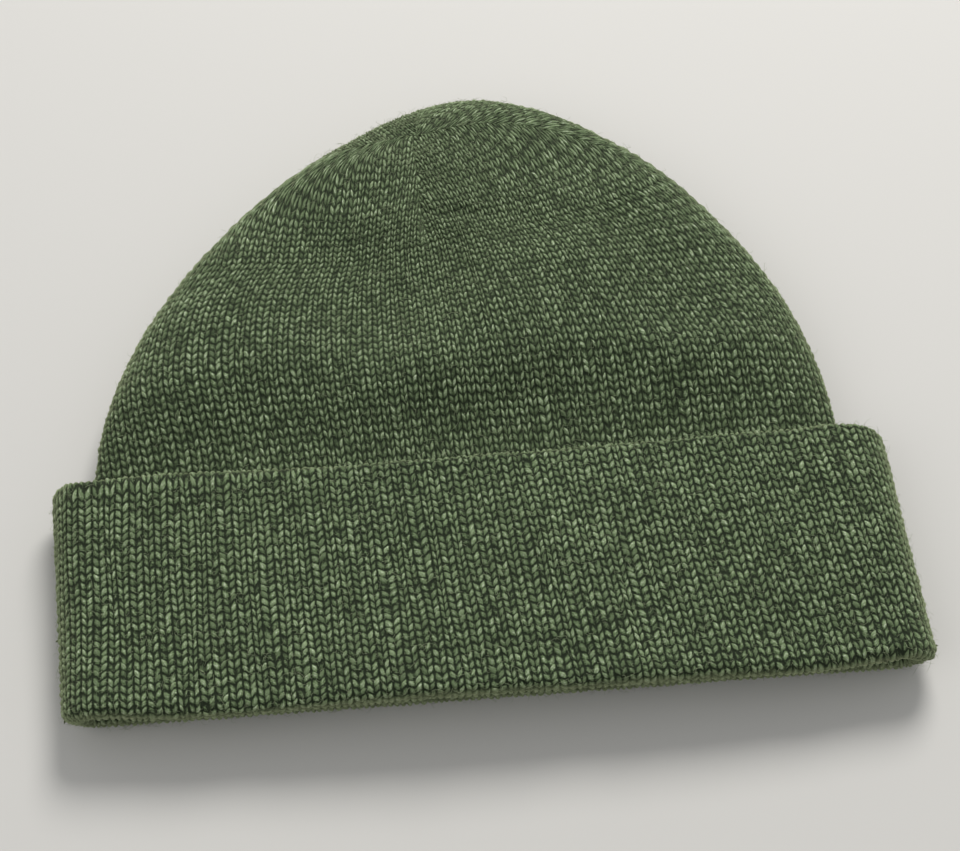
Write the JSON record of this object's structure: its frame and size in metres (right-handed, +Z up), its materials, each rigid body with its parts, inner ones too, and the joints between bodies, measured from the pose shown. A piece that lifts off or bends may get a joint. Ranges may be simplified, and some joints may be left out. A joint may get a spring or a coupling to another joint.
{
  "type": "knit beanie",
  "caption": "Soft knitted beanie lying flat, with a deep turned-up double cuff and a rounded crown shaped by rows of decreases.",
  "frame": {"origin": "on the surface that the hat lies on, below the middle of its outline", "axes": "+X across the hat along the cuff, +Y from the lower fold of the cuff to the top of the crown, +Z up from the surface"},
  "size_m": [0.2421, 0.196, 0.0275],
  "materials": {
    "crown_knit": "plain knitted wool, heathered olive green, soft and slightly fuzzy",
    "cuff_knit": "plain knitted wool, heathered olive green, the same yarn as the crown",
    "inner_knit": "the inner layer of the cuff, the same knitting",
    "seam_yarn": "linked and sewn seams in the hat's own yarn",
    "label_satin": "plain woven satin tape, blank"
  },
  "bodies": {
    "back": {"wall_back": "crown_knit", "gore_back_left": "crown_knit", "gore_back_right": "crown_knit", "back_seam": "seam_yarn", "dart_seam_back": "seam_yarn", "dart_seam_left": "seam_yarn", "dart_seam_right": "seam_yarn"},
    "front": {"wall_front": "crown_knit", "gore_front_left": "crown_knit", "gore_front_right": "crown_knit", "dart_seam_front": "seam_yarn", "crown_tip_closure": "seam_yarn"},
    "cuff_back": {"cuff_outer_back": "cuff_knit", "cuff_inner_back": "inner_knit", "cuff_top_fold_back": "cuff_knit", "turn_fold_back": "cuff_knit", "hem_linking_back": "seam_yarn"},
    "cuff_front": {"cuff_outer_front": "cuff_knit", "cuff_inner_front": "inner_knit", "cuff_top_fold_front": "cuff_knit", "turn_fold_front": "cuff_knit", "hem_linking_front": "seam_yarn"},
    "label": {"care_label": "label_satin"}
  },
  "joints": [
    {"name": "front_lift", "type": "slide", "parent": "back", "child": "front", "axis": [0, 0, 1], "range_m": [0, 0.028]},
    {"name": "cuff_down", "type": "slide", "parent": "back", "child": "cuff_back", "axis": [0, -1, 0], "range_m": [0, 0.06]},
    {"name": "cuff_front_lift", "type": "slide", "parent": "cuff_back", "child": "cuff_front", "axis": [0, 0, 1], "range_m": [0, 0.028]},
    {"name": "label_flip", "type": "hinge", "parent": "back", "child": "label", "pos_m": [0.0012, -0.054, 0.0076], "axis": [0, -1, 0], "range_deg": [0, 18]}
  ],
  "couplings": [
    {"joint": "cuff_front_lift", "follows": "front_lift", "ratio": 1}
  ]
}
